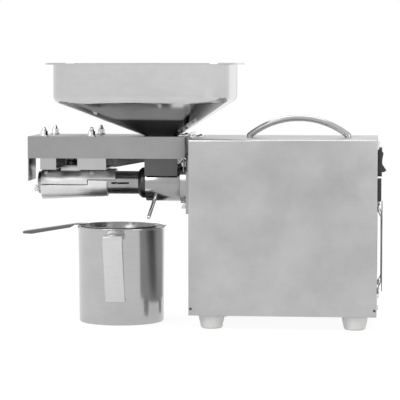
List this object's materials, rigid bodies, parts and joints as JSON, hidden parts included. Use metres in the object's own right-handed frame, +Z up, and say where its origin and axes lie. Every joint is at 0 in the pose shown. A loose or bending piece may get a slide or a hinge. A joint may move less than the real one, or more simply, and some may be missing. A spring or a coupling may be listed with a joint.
{
  "type": "screw oil press",
  "caption": "Household screw oil press: box motor housing with carry handle, hinged hood with hopper, heated press barrel, oil cup and strainer.",
  "frame": {"origin": "middle of the overall footprint, on the surface that the feet and the cup stand on", "axes": "+X from the press barrel towards the switch end, -Y towards the user, +Z up"},
  "size_m": [0.4746, 0.23, 0.338],
  "materials": {
    "stainless_panel": "fine brushed stainless sheet",
    "polished_stainless": "polished stainless",
    "machined_steel": "turned steel",
    "cast_jacket": "satin pressed shell",
    "dark_steel": "blued steel",
    "fastener": "bright plated",
    "white_foot": "moulded white",
    "black_plastic": "moulded black",
    "rocker_plastic": "gloss black",
    "motor_paint": "black paint",
    "cast_case": "cast grey",
    "board_green": "circuit board"
  },
  "bodies": {
    "housing": {"housing_wrap": "stainless_panel", "left_end_plate": "stainless_panel", "right_end_plate": "stainless_panel", "base_plate": "stainless_panel", "feet": "white_foot", "foot_screws": "fastener", "panel_screws": "fastener", "carry_handle": "polished_stainless", "handle_nuts": "fastener", "switch_body": "black_plastic", "power_inlet": "black_plastic", "fan_frame": "black_plastic", "fan_guard": "polished_stainless", "fan_screws": "fastener", "motor_body": "motor_paint", "motor_end_bells": "cast_jacket", "motor_bracket": "machined_steel", "motor_capacitor": "black_plastic", "control_board": "board_green", "gearbox_case": "cast_case", "gearbox_cover": "cast_case", "shaft_bearings": "fastener", "mounting_flange": "machined_steel", "flange_bolts": "fastener", "barrel_holder": "polished_stainless", "press_cage": "machined_steel", "cage_cone": "dark_steel", "press_head": "machined_steel", "nozzle_bolt": "fastener", "heater_lower": "cast_jacket", "hinge_housing_leaf": "polished_stainless", "hinge_pin": "machined_steel", "hinge_housing_screws": "dark_steel"},
    "hood": {"hood_cover": "stainless_panel", "hood_left_plate": "stainless_panel", "hood_right_plate": "stainless_panel", "cap_nuts": "fastener", "hanger_bolts": "fastener", "hanger_straps": "stainless_panel", "heater_upper": "cast_jacket", "jacket_screws": "fastener", "thermostat": "dark_steel", "hinge_hood_leaf": "polished_stainless", "hinge_hood_screws": "dark_steel", "feed_throat": "stainless_panel"},
    "hopper": {"hopper": "polished_stainless"},
    "rocker": {"switch_rocker": "rocker_plastic"},
    "lock_bar": {"locking_bar": "polished_stainless"},
    "output": {"output_shaft": "machined_steel", "output_gear": "machined_steel", "press_screw": "machined_steel"},
    "middle": {"middle_shaft": "machined_steel", "middle_wheel": "machined_steel"},
    "motor": {"motor_rotor": "machined_steel"},
    "fan": {"fan_rotor": "black_plastic"},
    "cup": {"cup_body": "polished_stainless", "cup_handle": "polished_stainless"},
    "strainer": {"strainer_bowl": "polished_stainless", "strainer_handle": "polished_stainless"}
  },
  "joints": [
    {"name": "hood_open", "type": "hinge", "parent": "housing", "child": "hood", "pos_m": [-0.0154, 0, 0.2452], "axis": [0, 1, 0], "range_deg": [0, 25]},
    {"name": "hopper_lift", "type": "slide", "parent": "hood", "child": "hopper", "axis": [0, 0, 1], "range_m": [0, 0.12]},
    {"name": "rocker_tilt", "type": "hinge", "parent": "housing", "child": "rocker", "pos_m": [0.2261, 0, 0.2105], "axis": [0, 1, 0], "range_deg": [0, 16]},
    {"name": "lock_bar_turn", "type": "hinge", "parent": "housing", "child": "lock_bar", "pos_m": [-0.0614, -0.01593, 0.16411], "axis": [-0.1736, -0.659, -0.7319], "range_deg": [0, 180]},
    {"name": "motor_spin", "type": "hinge", "parent": "housing", "child": "motor", "pos_m": [0.1, 0, 0.1008], "axis": [1, 0, 0], "continuous": true},
    {"name": "middle_spin", "type": "hinge", "parent": "housing", "child": "middle", "pos_m": [0.01, 0, 0.1368], "axis": [1, 0, 0], "continuous": true},
    {"name": "output_spin", "type": "hinge", "parent": "housing", "child": "output", "pos_m": [0, 0, 0.1818], "axis": [1, 0, 0], "continuous": true},
    {"name": "fan_spin", "type": "hinge", "parent": "housing", "child": "fan", "pos_m": [0.21, 0, 0.1009], "axis": [1, 0, 0], "continuous": true},
    {"name": "cup_slide", "type": "slide", "parent": "housing", "child": "cup", "axis": [0, -1, 0], "range_m": [0, 0.2]},
    {"name": "strainer_swivel", "type": "hinge", "parent": "cup", "child": "strainer", "pos_m": [-0.1078, 0, 0.126], "axis": [0, 0, 1], "range_deg": [-60, 60]}
  ],
  "couplings": [
    {"joint": "middle_spin", "follows": "motor_spin", "ratio": -0.2},
    {"joint": "output_spin", "follows": "motor_spin", "ratio": 0.05}
  ]
}
